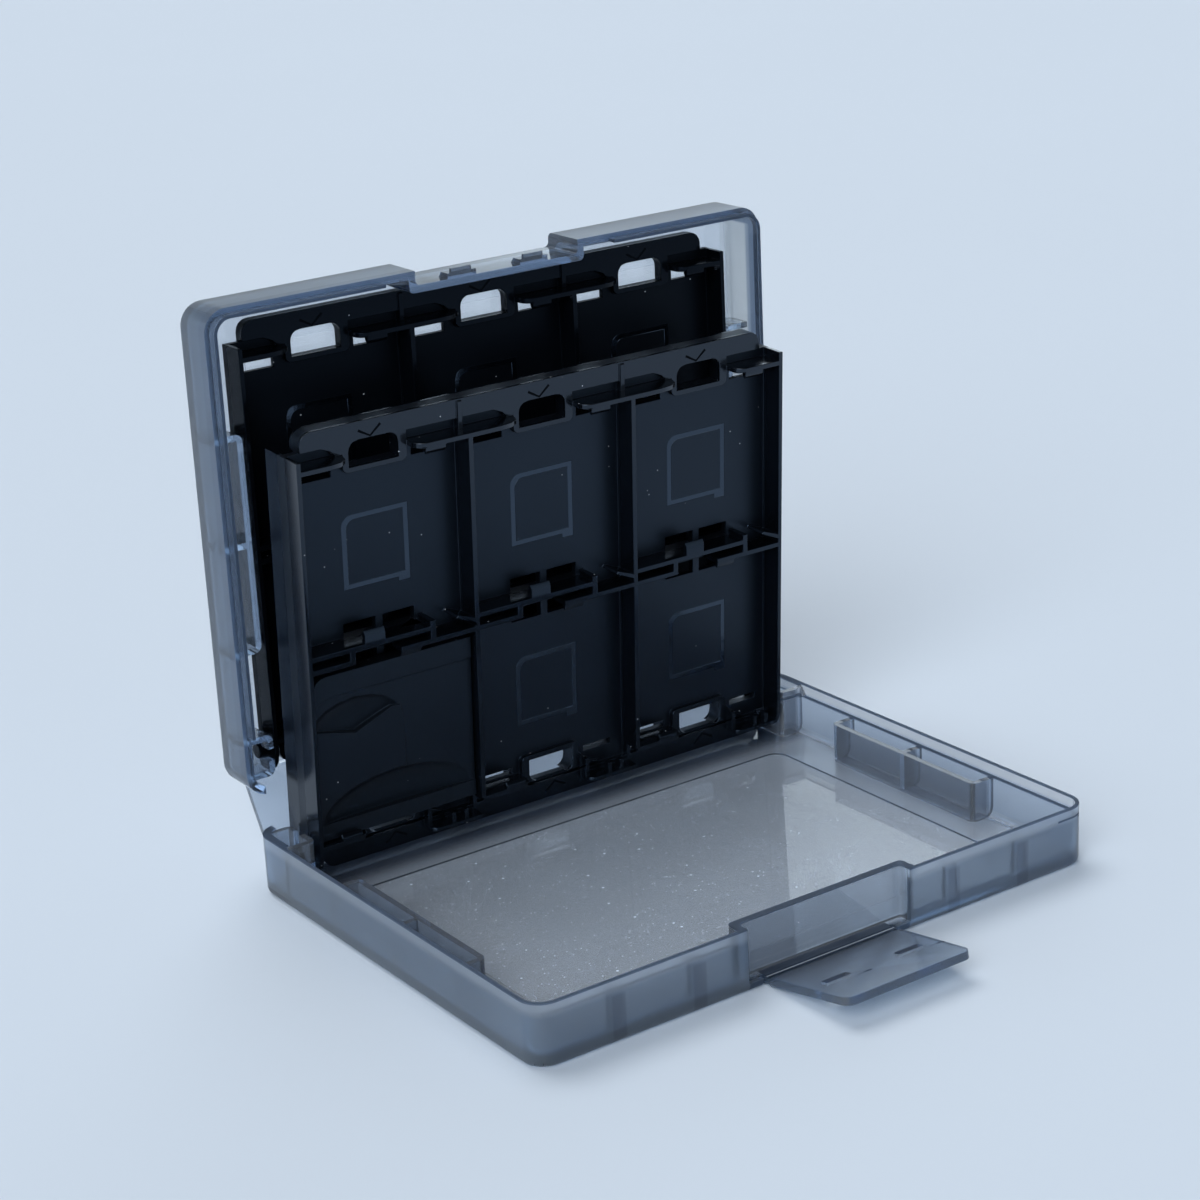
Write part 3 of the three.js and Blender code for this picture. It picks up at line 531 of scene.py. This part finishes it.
lid_smoke = make_smoke(
    "smoke plastic of the lid",
    [
        (GREY, [below("Y", 56.2, 0.4)]),  # walls
        # painted light: the right wall is paler
        (WARM, [above("X", 60.4, 0.4)]),  # right wall
        (DEEP, [LID_TOP]),
        # painted shade: the right half of the top is darker, for its darker reflection
        (SHADE, [LID_TOP, above("X", 5.0, 30.0)]),
        (LID_LEFT, [below("X", -60.8, 0.5)]),
        (SHADE, [below("Y", 50.6, 0.8)]),  # lip
    ],
    [[below("Y", 46.2, 0.2)]],  # rim
    [
        [above("X", 61.9, 0.3)],
        [below("X", -61.9, 0.3)],
        [above("Z", 111.3, 0.3)],
        [below("X", -61.0, 0.15), above("Z", 110.3, 0.15)],
        [above("X", 61.0, 0.15), above("Z", 110.3, 0.15)],
    ],
    SHELL_LOSS,
)
spine_smoke = make_smoke("smoke plastic of the spine", [(PALE, WHOLE_SPINE)], [], [WHOLE_SPINE],
                         SHELL_LOSS, satin=0.2)
flap_edges = ([below("Y", -67.5, 0.3)], [above("X", 14.0, 0.3)], [below("X", -14.0, 0.3)])
flap_smoke = make_smoke("smoke plastic of the flap", [(FLAP_BORDER, edge) for edge in flap_edges],
                        [], [WHOLE_FLAP], FLAP_LOSS, clear=FLAP_CLEAR, satin=0.22)
print("also made:", lid_smoke.name, spine_smoke.name, flap_smoke.name, sep="\n  ")

# %% [markdown]
# ## Black plastic
# The trays and the adapter are blue-black mouldings. The plates are satin, the walls and lips a bit
# glossier, and both collect white dust. A near-black base with the plain gloss of plastic does most
# of it, because almost all that the eye sees on black is reflection. Grain breaks the gloss up a
# little and the dust is mixed in as colour. What stands proud of a tray's plate is found by its
# distance from the middle plane, so walls and plate need no faces marked by hand.


# %% Black plastic
BLACK_SHEEN = (0.50, 0.70, 1.0, 1)
BLACK_TONES = (0.75, 1.3)
BLACK_DUST = (0.70, 0.74, 0.80)
BLACK_SPREAD = 0.12
DUST_ROUGHNESS = 0.4
OUTER_ROUGHNESS = 0.17
OUTER_FADE = 0.3
SHINE_FADE = (0.050, 0.088)


def make_black(name, colour, satin, grain_size, speck_share, gloss=0.5, proud=None, shine=0.0):
    """proud gives a tray's (pivot, lean, depth): what stands farther from its plate is glossier.
    shine is the polish that these walls gain towards the top."""
    material, tree, plastic, at = new_material(name)
    skin = place(tree, grain, Vector=at, Grain_size=grain_size, Cloud_size=14.0)
    specks = place(tree, dust, Vector=at, Spacing=2.3, Size=0.17, Share=speck_share)
    cloud = skin.outputs["Cloud"]
    dark, light = [[share * c for c in colour] for share in BLACK_TONES]
    tint = mix_colours(tree, cloud, dark, light)
    dusty = mix_colours(tree, specks.outputs["Mask"], tint, BLACK_DUST)
    rough = maths(tree, "MULTIPLY_ADD", cloud, BLACK_SPREAD, satin - BLACK_SPREAD / 2)
    if proud:
        (_, y, z), lean, depth = proud
        parts = put(tree, "ShaderNodeSeparateXYZ", Vector=at)
        across = maths(tree, "MULTIPLY_ADD", parts.outputs["Y"], cos(lean), -y * MM * cos(lean))
        up = maths(tree, "MULTIPLY_ADD", parts.outputs["Z"], sin(lean), -z * MM * sin(lean))
        away = maths(tree, "ABSOLUTE", maths(tree, "ADD", across, up))
        outer = ramp(tree, away, depth * MM, (depth + OUTER_FADE) * MM)
        rough = maths(tree, "MULTIPLY_ADD", outer, OUTER_ROUGHNESS - satin, rough)
        if shine:
            polish = ramp(tree, parts.outputs["Z"], *SHINE_FADE, 0.0, shine)
            fill_all(tree, plastic, Coat_Weight=maths(tree, "MULTIPLY", outer, polish),
                     Coat_Roughness=OUTER_ROUGHNESS)
    rough = maths(tree, "MULTIPLY_ADD", specks.outputs["Mask"], DUST_ROUGHNESS, rough, clamp=True)
    relief = put(tree, "ShaderNodeBump", Strength=0.25, Distance=GRAIN_DEPTH,
                 Height=skin.outputs["Height"])
    fill_all(tree, plastic, Base_Color=dusty, Roughness=rough, Normal=relief.outputs["Normal"],
             IOR=PLASTIC_IOR, Specular_IOR_Level=gloss, Specular_Tint=BLACK_SHEEN)
    return material


print("black plastic mirrors at roughness", OUTER_ROUGHNESS, "on its walls")

# %% [markdown]
# ## Five blacks
# On the real trays no two surfaces mirror alike. The page stands in the light and its walls gain
# polish towards the top. The lid's tray stands in the page's shadow and mirrors little. The adapter
# is a finer matt moulding, the marks in the slots are polished, and the arrow lines are dull black
# strips of painted groove shade.

# %% Black finishes
INK = (0.0012, 0.0018, 0.0030)
ADAPTER_INK = (0.0016, 0.0022, 0.0034)
# the arrow lines' ink is painted shade of their grooves
GROOVE_SHADE_INK = (0.0004, 0.0005, 0.0008)
PAGE_PIVOT = (0, 41.3, 7.8)
PAGE_LEAN = radians(2.9)
LID_PIVOT = (0, 55.52, 25.07)
PAGE_RAISED, LID_RAISED = 1.2, 1.0

page_black = make_black("black page plastic", INK, satin=0.36, grain_size=0.25, speck_share=0.20,
                        proud=(PAGE_PIVOT, PAGE_LEAN, PAGE_RAISED), shine=0.35)
lid_black = make_black("black lid tray plastic", INK, satin=0.40, grain_size=0.25,
                       speck_share=0.12, gloss=0.12, proud=(LID_PIVOT, 0.0, LID_RAISED))
adapter_black = make_black("black adapter plastic", ADAPTER_INK, satin=0.40, grain_size=0.20,
                           speck_share=0.24)
mark_black = make_black("polished mark plastic", INK, satin=0.10, grain_size=0.40,
                        speck_share=0.06, gloss=1.0)
# painted shade: the dark of an engraved groove, as a matt black strip
groove_shade_black = make_black("painted groove shade", GROOVE_SHADE_INK, satin=0.70, grain_size=0.20,
                        speck_share=0.0, gloss=0.1)
print("black plastics:", page_black.name, "and", adapter_black.name)

# %% [markdown]
# ## Dressing the solids
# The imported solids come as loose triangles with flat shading. The meshes themselves stay untouched,
# so modifiers do the work. On every piece a geometry node group welds the triangles and marks the
# sharp edges. Shells, spine and flap already carry their rounds, so they need no more. The trays and
# the adapter have knife-sharp edges, but on real mouldings a small round catches the light there. For
# them a planar decimate joins the flat faces, and a bevel rounds the edges.


# %% Weld and smooth
WELD_REACH = 1e-6
SHARP_ANGLE = radians(32)


def make_weld():
    group = bpy.data.node_groups.new("Weld and smooth", "GeometryNodeTree")
    for way in ("INPUT", "OUTPUT"):
        group.interface.new_socket("Geometry", in_out=way, socket_type="NodeSocketGeometry")
    given, result = group.nodes.new("NodeGroupInput"), group.nodes.new("NodeGroupOutput")
    joined = put(group, "GeometryNodeMergeByDistance", Geometry=given.outputs[0],
                 Distance=WELD_REACH)
    angle = put(group, "GeometryNodeInputMeshEdgeAngle").outputs["Unsigned Angle"]
    sharp = maths(group, "GREATER_THAN", angle, SHARP_ANGLE)
    normals = put(group, "GeometryNodeSetMeshNormal", {"mode": "SHARPNESS"},
                  Mesh=joined.outputs[0], Remove_Custom=True, Edge_Sharpness=sharp)
    group.links.new(normals.outputs[0], result.inputs[0])
    return group


weld = make_weld()
print("group:", weld.name)


# %% Dress each piece
FLAT_ANGLE = radians(0.5)
DRESSING = (  # piece, finish, round on its edges in mm
    ("base_shell", base_smoke, 0),
    ("lid_shell", lid_smoke, 0),
    ("spine", spine_smoke, 0),
    ("latch_flap", flap_smoke, 0),
    ("page_tray", page_black, 0.13),
    ("lid_tray", lid_black, 0.13),
    ("card_adapter", adapter_black, 0.15),
)


def round_edges(piece, edge_round):
    flat = piece.modifiers.new("flat faces", "DECIMATE")
    flat.decimate_type = "DISSOLVE"
    flat.angle_limit = FLAT_ANGLE
    soft = piece.modifiers.new("rounded edges", "BEVEL")
    soft.width = edge_round * MM
    soft.segments = 2
    soft.limit_method = "ANGLE"
    soft.angle_limit = SHARP_ANGLE
    soft.use_clamp_overlap = False
    soft.harden_normals = True


for name, material, edge_round in DRESSING:
    piece = nodes[name]
    piece.material_slots[0].material = material
    piece.modifiers.new("weld and smooth", "NODES").node_group = weld
    if edge_round:
        round_edges(piece, edge_round)
    print(name, "in", material.name)

# %% [markdown]
# ## Two tray frames
# Marks on the trays are easier to place in the tray's own measure: millimetres across, outwards from
# the plate and up from the pivot. The page leans a little and the lid tray stands upright, so each
# gets a small function that turns such a point into the shared frame.


# %% Tray frames
PAGE_TOP = 82.7


def on_page(x, y, z):
    lift = y * sin(PAGE_LEAN) + z * cos(PAGE_LEAN)
    back = y * cos(PAGE_LEAN) - z * sin(PAGE_LEAN)
    return Vector((x, PAGE_PIVOT[1] + back, PAGE_PIVOT[2] + lift)) * MM


def on_page_back(x, y, z):
    return on_page(-x, -y, z)


def on_lid_tray(x, y, z):
    return Vector((x, LID_PIVOT[1] + y, LID_PIVOT[2] + z)) * MM


print("page top at", [round(v / MM, 1) for v in on_page(0, 0, PAGE_TOP)])

# %% [markdown]
# ## Making a piece
# Everything that the scene adds is a mesh built point by point.


# %% Piece helpers
def new_piece(bm, name, material):
    bmesh.ops.recalc_face_normals(bm, faces=bm.faces)
    mesh = bpy.data.meshes.new(name)
    bm.to_mesh(mesh)
    bm.free()
    mesh.materials.append(material)
    piece = bpy.data.objects.new(name, mesh)
    bpy.context.collection.objects.link(piece)
    print(name, "has", len(mesh.polygons), "faces")
    return piece


def finish_piece(bm, name, material, body):
    piece = new_piece(bm, name, material)
    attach(piece, body)
    print(name, "rides on", body)


def join_rings(bm, rings):
    """Faces between neighbouring closed rings of points."""
    count = len(rings[0])
    for near, far in zip(rings, rings[1:]):
        for i in range(count):
            j = (i + 1) % count
            bm.faces.new((near[i], near[j], far[j], far[i]))


print("piece helpers ready")

# %% [markdown]
# ## Card outlines in the slots
# A polished line in the shape of a card, with one corner cut and a small step at another, shows
# which way round a card goes in. It stands a hair above the satin plate and mirrors more sharply, so
# it looks paler than the plate where the table is reflected and darker where it isn't. One closed
# outline is offset inwards and the ring between the two is drawn up into a low rib.


# %% Card outline
OUTLINE_HALF = (7.2, 7.3)
OUTLINE_CUT = 2.3
OUTLINE_STEP = (2.6, 0.9)
OUTLINE_WIDTH = 1.1
CUT_SHRINK = 0.4
STEP_SHRINK = 1.2
STEP_SLANT = 0.4
ARC_ANGLES = (0, 18, 36, 54, 72, 90)


def card_outline(inset):
    """Corner points of the outline, its cut corner at the upper left, moved inwards by inset."""
    half_x, half_z = OUTLINE_HALF[0] - inset, OUTLINE_HALF[1] - inset
    bend = OUTLINE_CUT - CUT_SHRINK * inset
    turns = [radians(angle) for angle in ARC_ANGLES]
    arc = [(-half_x + bend - bend * cos(a), half_z - bend + bend * sin(a)) for a in turns]
    low = -half_z
    if inset == 0:
        foot, foot_low = half_x - OUTLINE_STEP[0], low - OUTLINE_STEP[1]
        step = [(half_x, foot_low), (foot, foot_low), (foot, low)]
    else:
        foot = half_x - (OUTLINE_STEP[0] - STEP_SHRINK)
        step = [(half_x, low), (foot, low), (foot - STEP_SLANT, low)]
    return arc + [(half_x, half_z)] + step + [(-half_x, low)]


print("card outline of", len(card_outline(0)), "points")

# %% Outlines on the trays
COLUMNS = (-37.3, 0.0, 37.3)
ROW_HEIGHTS = (17.45, 55.35)
MARK_LIFT = 2.2
OUTLINE_SHIFT = 0.1
OUTLINE_RISE = 0.05
OUTLINE_SUNK = 0.01
RIB_SLOPE = 0.1
PAGE_PLATE, LID_PLATE = 0.75, 0.6


def ring_rib(bm, outer, inner, foot, rise, to_world):
    """A low closed rib between two outlines of equal count. Its top is a little narrower."""
    top = foot - rise
    rows = []
    for share, y in ((0.0, foot), (RIB_SLOPE, top), (1 - RIB_SLOPE, top), (1.0, foot)):
        rows.append([
            bm.verts.new(to_world(ax + (bx - ax) * share, y, az + (bz - az) * share))
            for (ax, az), (bx, bz) in zip(outer, inner)
        ])
    join_rings(bm, rows + [rows[0]])


def outlines(name, to_world, plate, body, skip=()):
    bm = bmesh.new()
    for row, height in enumerate(ROW_HEIGHTS):
        for column, centre in enumerate(COLUMNS):
            if (column, row) in skip:
                continue
            middle_x, middle_z = centre + OUTLINE_SHIFT, height + MARK_LIFT
            outer, inner = [
                [(middle_x + x, middle_z + z) for x, z in card_outline(inset)]
                for inset in (0, OUTLINE_WIDTH)
            ]
            ring_rib(bm, outer, inner, -plate + OUTLINE_SUNK, OUTLINE_RISE, to_world)
    finish_piece(bm, name, mark_black, body)


outlines("page_front_card_outlines", on_page, PAGE_PLATE, "page", skip=[(0, 0)])
outlines("page_back_card_outlines", on_page_back, PAGE_PLATE, "page")
outlines("lid_tray_card_outlines", on_lid_tray, LID_PLATE, "lid")

# %% [markdown]
# ## Arrow marks over the windows
# A thin engraved V over each finger window points at it. Cutting it out of the band would need a
# boolean on a solid that must stay as it is. At half a millimetre wide only the shade in its groove
# shows, so a matt black strip two hundredths of a millimetre above the band paints that shade.


# %% Arrow marks
ARROW = ((-3.1, 78.7), (-0.6, 77.3), (1.65, 79.2))
ARROW_WIDTH = 0.5
ARROW_RISE = 0.02
BAND_RISE = 1.15
TRAY_MIDDLE = 39.2


def arrow_strip(bm, centre, y, to_world, flip):
    half = ARROW_WIDTH / 2
    left, tip, end = [Vector((centre + x, z + MARK_LIFT)) for x, z in ARROW]
    if flip:
        middle = Vector((centre, TRAY_MIDDLE))
        left, tip, end = [2 * middle - point for point in (left, tip, end)]
    side_a = (tip - left).normalized().orthogonal() * half
    side_b = (end - tip).normalized().orthogonal() * half
    rows = []
    for point, side in ((left, side_a), (tip, (side_a + side_b) / 2), (end, side_b)):
        ring = ((side, -ARROW_RISE), (-side, -ARROW_RISE), (-side, ARROW_RISE), (side, ARROW_RISE))
        rows.append([
            bm.verts.new(to_world(point.x + s.x, y + rise, point.y + s.y)) for s, rise in ring
        ])
    join_rings(bm, rows)
    bm.faces.new(rows[0])
    bm.faces.new(rows[-1])


def arrows(name, to_world, plate, body):
    bm = bmesh.new()
    for centre in COLUMNS:
        for flip in (False, True):
            arrow_strip(bm, centre, -plate - BAND_RISE, to_world, flip)
    finish_piece(bm, name, groove_shade_black, body)


arrows("page_front_arrows", on_page, PAGE_PLATE, "page")
arrows("page_back_arrows", on_page_back, PAGE_PLATE, "page")
arrows("lid_tray_arrows", on_lid_tray, LID_PLATE, "lid")

# %% [markdown]
# ## Dust on the floor of the base
# The polished floor has gathered dust, lint and hair-fine scuffs, and they are what makes it look
# used. Glass itself can't be dusty, so a film a few hundredths of a millimetre above the floor
# carries the dirt. It is nearly clear where its mask is dark.


# %% Dust finish
FILM_TONES = ((0.66, 0.75, 0.88), (0.78, 0.86, 0.98))
HAZE_CLOUD, HAZE = (0.35, 0.75), (0.13, 0.20)
FINE_DUST, COARSE_DUST, HAIRS = 0.75, 0.95, 0.30


def make_film():
    material, tree, film, at = new_material("dust and scuffs")
    skin = place(tree, grain, Vector=at, Grain_size=0.5, Cloud_size=22.0)
    fine = place(tree, dust, Vector=at, Spacing=0.9, Size=0.20, Share=0.60)
    coarse = place(tree, dust, Vector=at, Spacing=3.0, Size=0.36, Share=0.60)
    hairs = place(tree, scratches, Vector=at, Length=13.0, Width=0.08)
    marks = 0.0
    for kind, strength in ((fine, FINE_DUST), (coarse, COARSE_DUST), (hairs, HAIRS)):
        mark = maths(tree, "MULTIPLY", kind.outputs["Mask"], strength)
        marks = maths(tree, "MAXIMUM", marks, mark)
    haze = ramp(tree, skin.outputs["Cloud"], *HAZE_CLOUD, *HAZE)
    tone = mix_colours(tree, skin.outputs["Height"], *FILM_TONES)
    fill_all(tree, film, Base_Color=tone, Alpha=maths(tree, "ADD", haze, marks, clamp=True),
             Roughness=0.9, Specular_IOR_Level=0.0)
    return material


floor_film = make_film()
print("film:", floor_film.name)


# %% Floor dust
FLOOR_HALF_WIDTH = 50.8
FLOOR_FRONT, FLOOR_BACK = -36.6, 30.8
FLOOR_CORNER = 3.0
FLOOR_TOP = 1.2
FILM_LIFT = 0.03


def rounded_rectangle(left, right, front, back, corner, steps=6):
    points = []
    corners = ((right, back, 0), (left, back, 90), (left, front, 180), (right, front, 270))
    for x, y, start in corners:
        middle_x = x - corner if x == right else x + corner
        middle_y = y - corner if y == back else y + corner
        for step in range(steps + 1):
            angle = radians(start + 90 * step / steps)
            points.append((middle_x + corner * cos(angle), middle_y + corner * sin(angle)))
    return points


bm = bmesh.new()
rim = rounded_rectangle(-FLOOR_HALF_WIDTH, FLOOR_HALF_WIDTH, FLOOR_FRONT, FLOOR_BACK, FLOOR_CORNER)
bm.faces.new([bm.verts.new(Vector((x, y, FLOOR_TOP + FILM_LIFT)) * MM) for x, y in rim])
finish_piece(bm, "base_floor_dust", floor_film, "base")

# %% [markdown]
# ## Marks on the flap
# To the right of each slot a short dash is moulded into the flap, with a hair line that runs to the
# slot. They are thin dark strips on its upper face, placed in the flap's own measure: across, out
# from the hinge and up from its middle.


# %% Flap marks
FLAP_HINGE = (0, -46.35, 0.75)
FLAP_RAISE = radians(10.5)
FLAP_TOP = 0.75
MARK_RISE = 0.02
SLOT_ENDS = (-5.4, 11.0)
DASH_OUT = 14.3
DASH_PARTS = ((0.1, 1.8, 0.12), (1.8, 3.3, 0.55))  # from, to, width: the hair line and the dash
DASH_BLUE = (0.020, 0.032, 0.060)


def on_flap(x, out, up):
    y = -out * cos(FLAP_RAISE) + up * sin(FLAP_RAISE)
    z = out * sin(FLAP_RAISE) + up * cos(FLAP_RAISE)
    return Vector((x, FLAP_HINGE[1] + y, FLAP_HINGE[2] + z)) * MM


def flap_strip(bm, left, right, out, width):
    near, far = out - width / 2, out + width / 2
    ring = ((left, near), (right, near), (right, far), (left, far))
    rows = [
        [bm.verts.new(on_flap(x, o, FLAP_TOP + rise)) for x, o in ring]
        for rise in (-MARK_RISE, MARK_RISE)
    ]
    join_rings(bm, rows)
    bm.faces.new(rows[0][::-1])
    bm.faces.new(rows[1])


line_blue = make_black("blue-black line", DASH_BLUE, satin=0.45, grain_size=0.20, speck_share=0.0)
bm = bmesh.new()
for end in SLOT_ENDS:
    for start, stop, width in DASH_PARTS:
        flap_strip(bm, end + start, end + stop, DASH_OUT, width)
finish_piece(bm, "flap_dashes", line_blue, "flap")

# %% [markdown]
# ## The flap's living hinge
# On the real case a film of plastic joins the flap to the base and whitens where it is bent. The
# solids leave a gap there, so a thin strip is laid from the ledge over the gap to the flap.


# %% Hinge film finish
WHITENED = (-47.2, -46.9)
FILM_DARK, FILM_WHITE = (0.035, 0.05, 0.08), (0.80, 0.86, 0.94)
FILM_ROUGHNESS = (0.2, 0.35)  # spread and least roughness
FILM_COVER = 0.85


def make_hinge_film():
    material, tree, film, at = new_material("hinge film")
    parts = put(tree, "ShaderNodeSeparateXYZ", Vector=at)
    skin = place(tree, grain, Vector=at, Grain_size=0.3, Cloud_size=6.0)
    bent = inside(tree, parts, between("Y", *WHITENED, 0.1))
    rough = maths(tree, "MULTIPLY_ADD", skin.outputs["Cloud"], *FILM_ROUGHNESS)
    tone = mix_colours(tree, bent, FILM_DARK, FILM_WHITE)
    fill_all(tree, film, Base_Color=tone, Roughness=rough, Alpha=FILM_COVER)
    return material


hinge_plastic = make_hinge_film()
print("film:", hinge_plastic.name)

# %% Flap hinge film
FILM_HALF_WIDTH = 14.6
FILM_THICKNESS = 0.05
LEDGE_STEPS = (-44.4, -44.9, -45.3, -45.7, -46.1, -46.5)
LEDGE_TOP = 1.62
LEDGE_CLIMB = 0.02
FLAP_STEPS = (0.5, 0.8, 1.1, 1.5)

profile = [(y, LEDGE_TOP + LEDGE_CLIMB * step) for step, y in enumerate(LEDGE_STEPS)]
for out in FLAP_STEPS:
    point = on_flap(0, out, FLAP_TOP + MARK_RISE) / MM
    profile.append((point.y, point.z))
section = [(-FILM_HALF_WIDTH, 0), (FILM_HALF_WIDTH, 0),
           (FILM_HALF_WIDTH, FILM_THICKNESS), (-FILM_HALF_WIDTH, FILM_THICKNESS)]
bm = bmesh.new()
rows = [[bm.verts.new(Vector((x, y, z + up)) * MM) for x, up in section] for y, z in profile]
join_rings(bm, rows)
bm.faces.new(rows[0][::-1])
bm.faces.new(rows[-1])
hinge_film = new_piece(bm, "flap_hinge_film", hinge_plastic)
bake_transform(hinge_film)
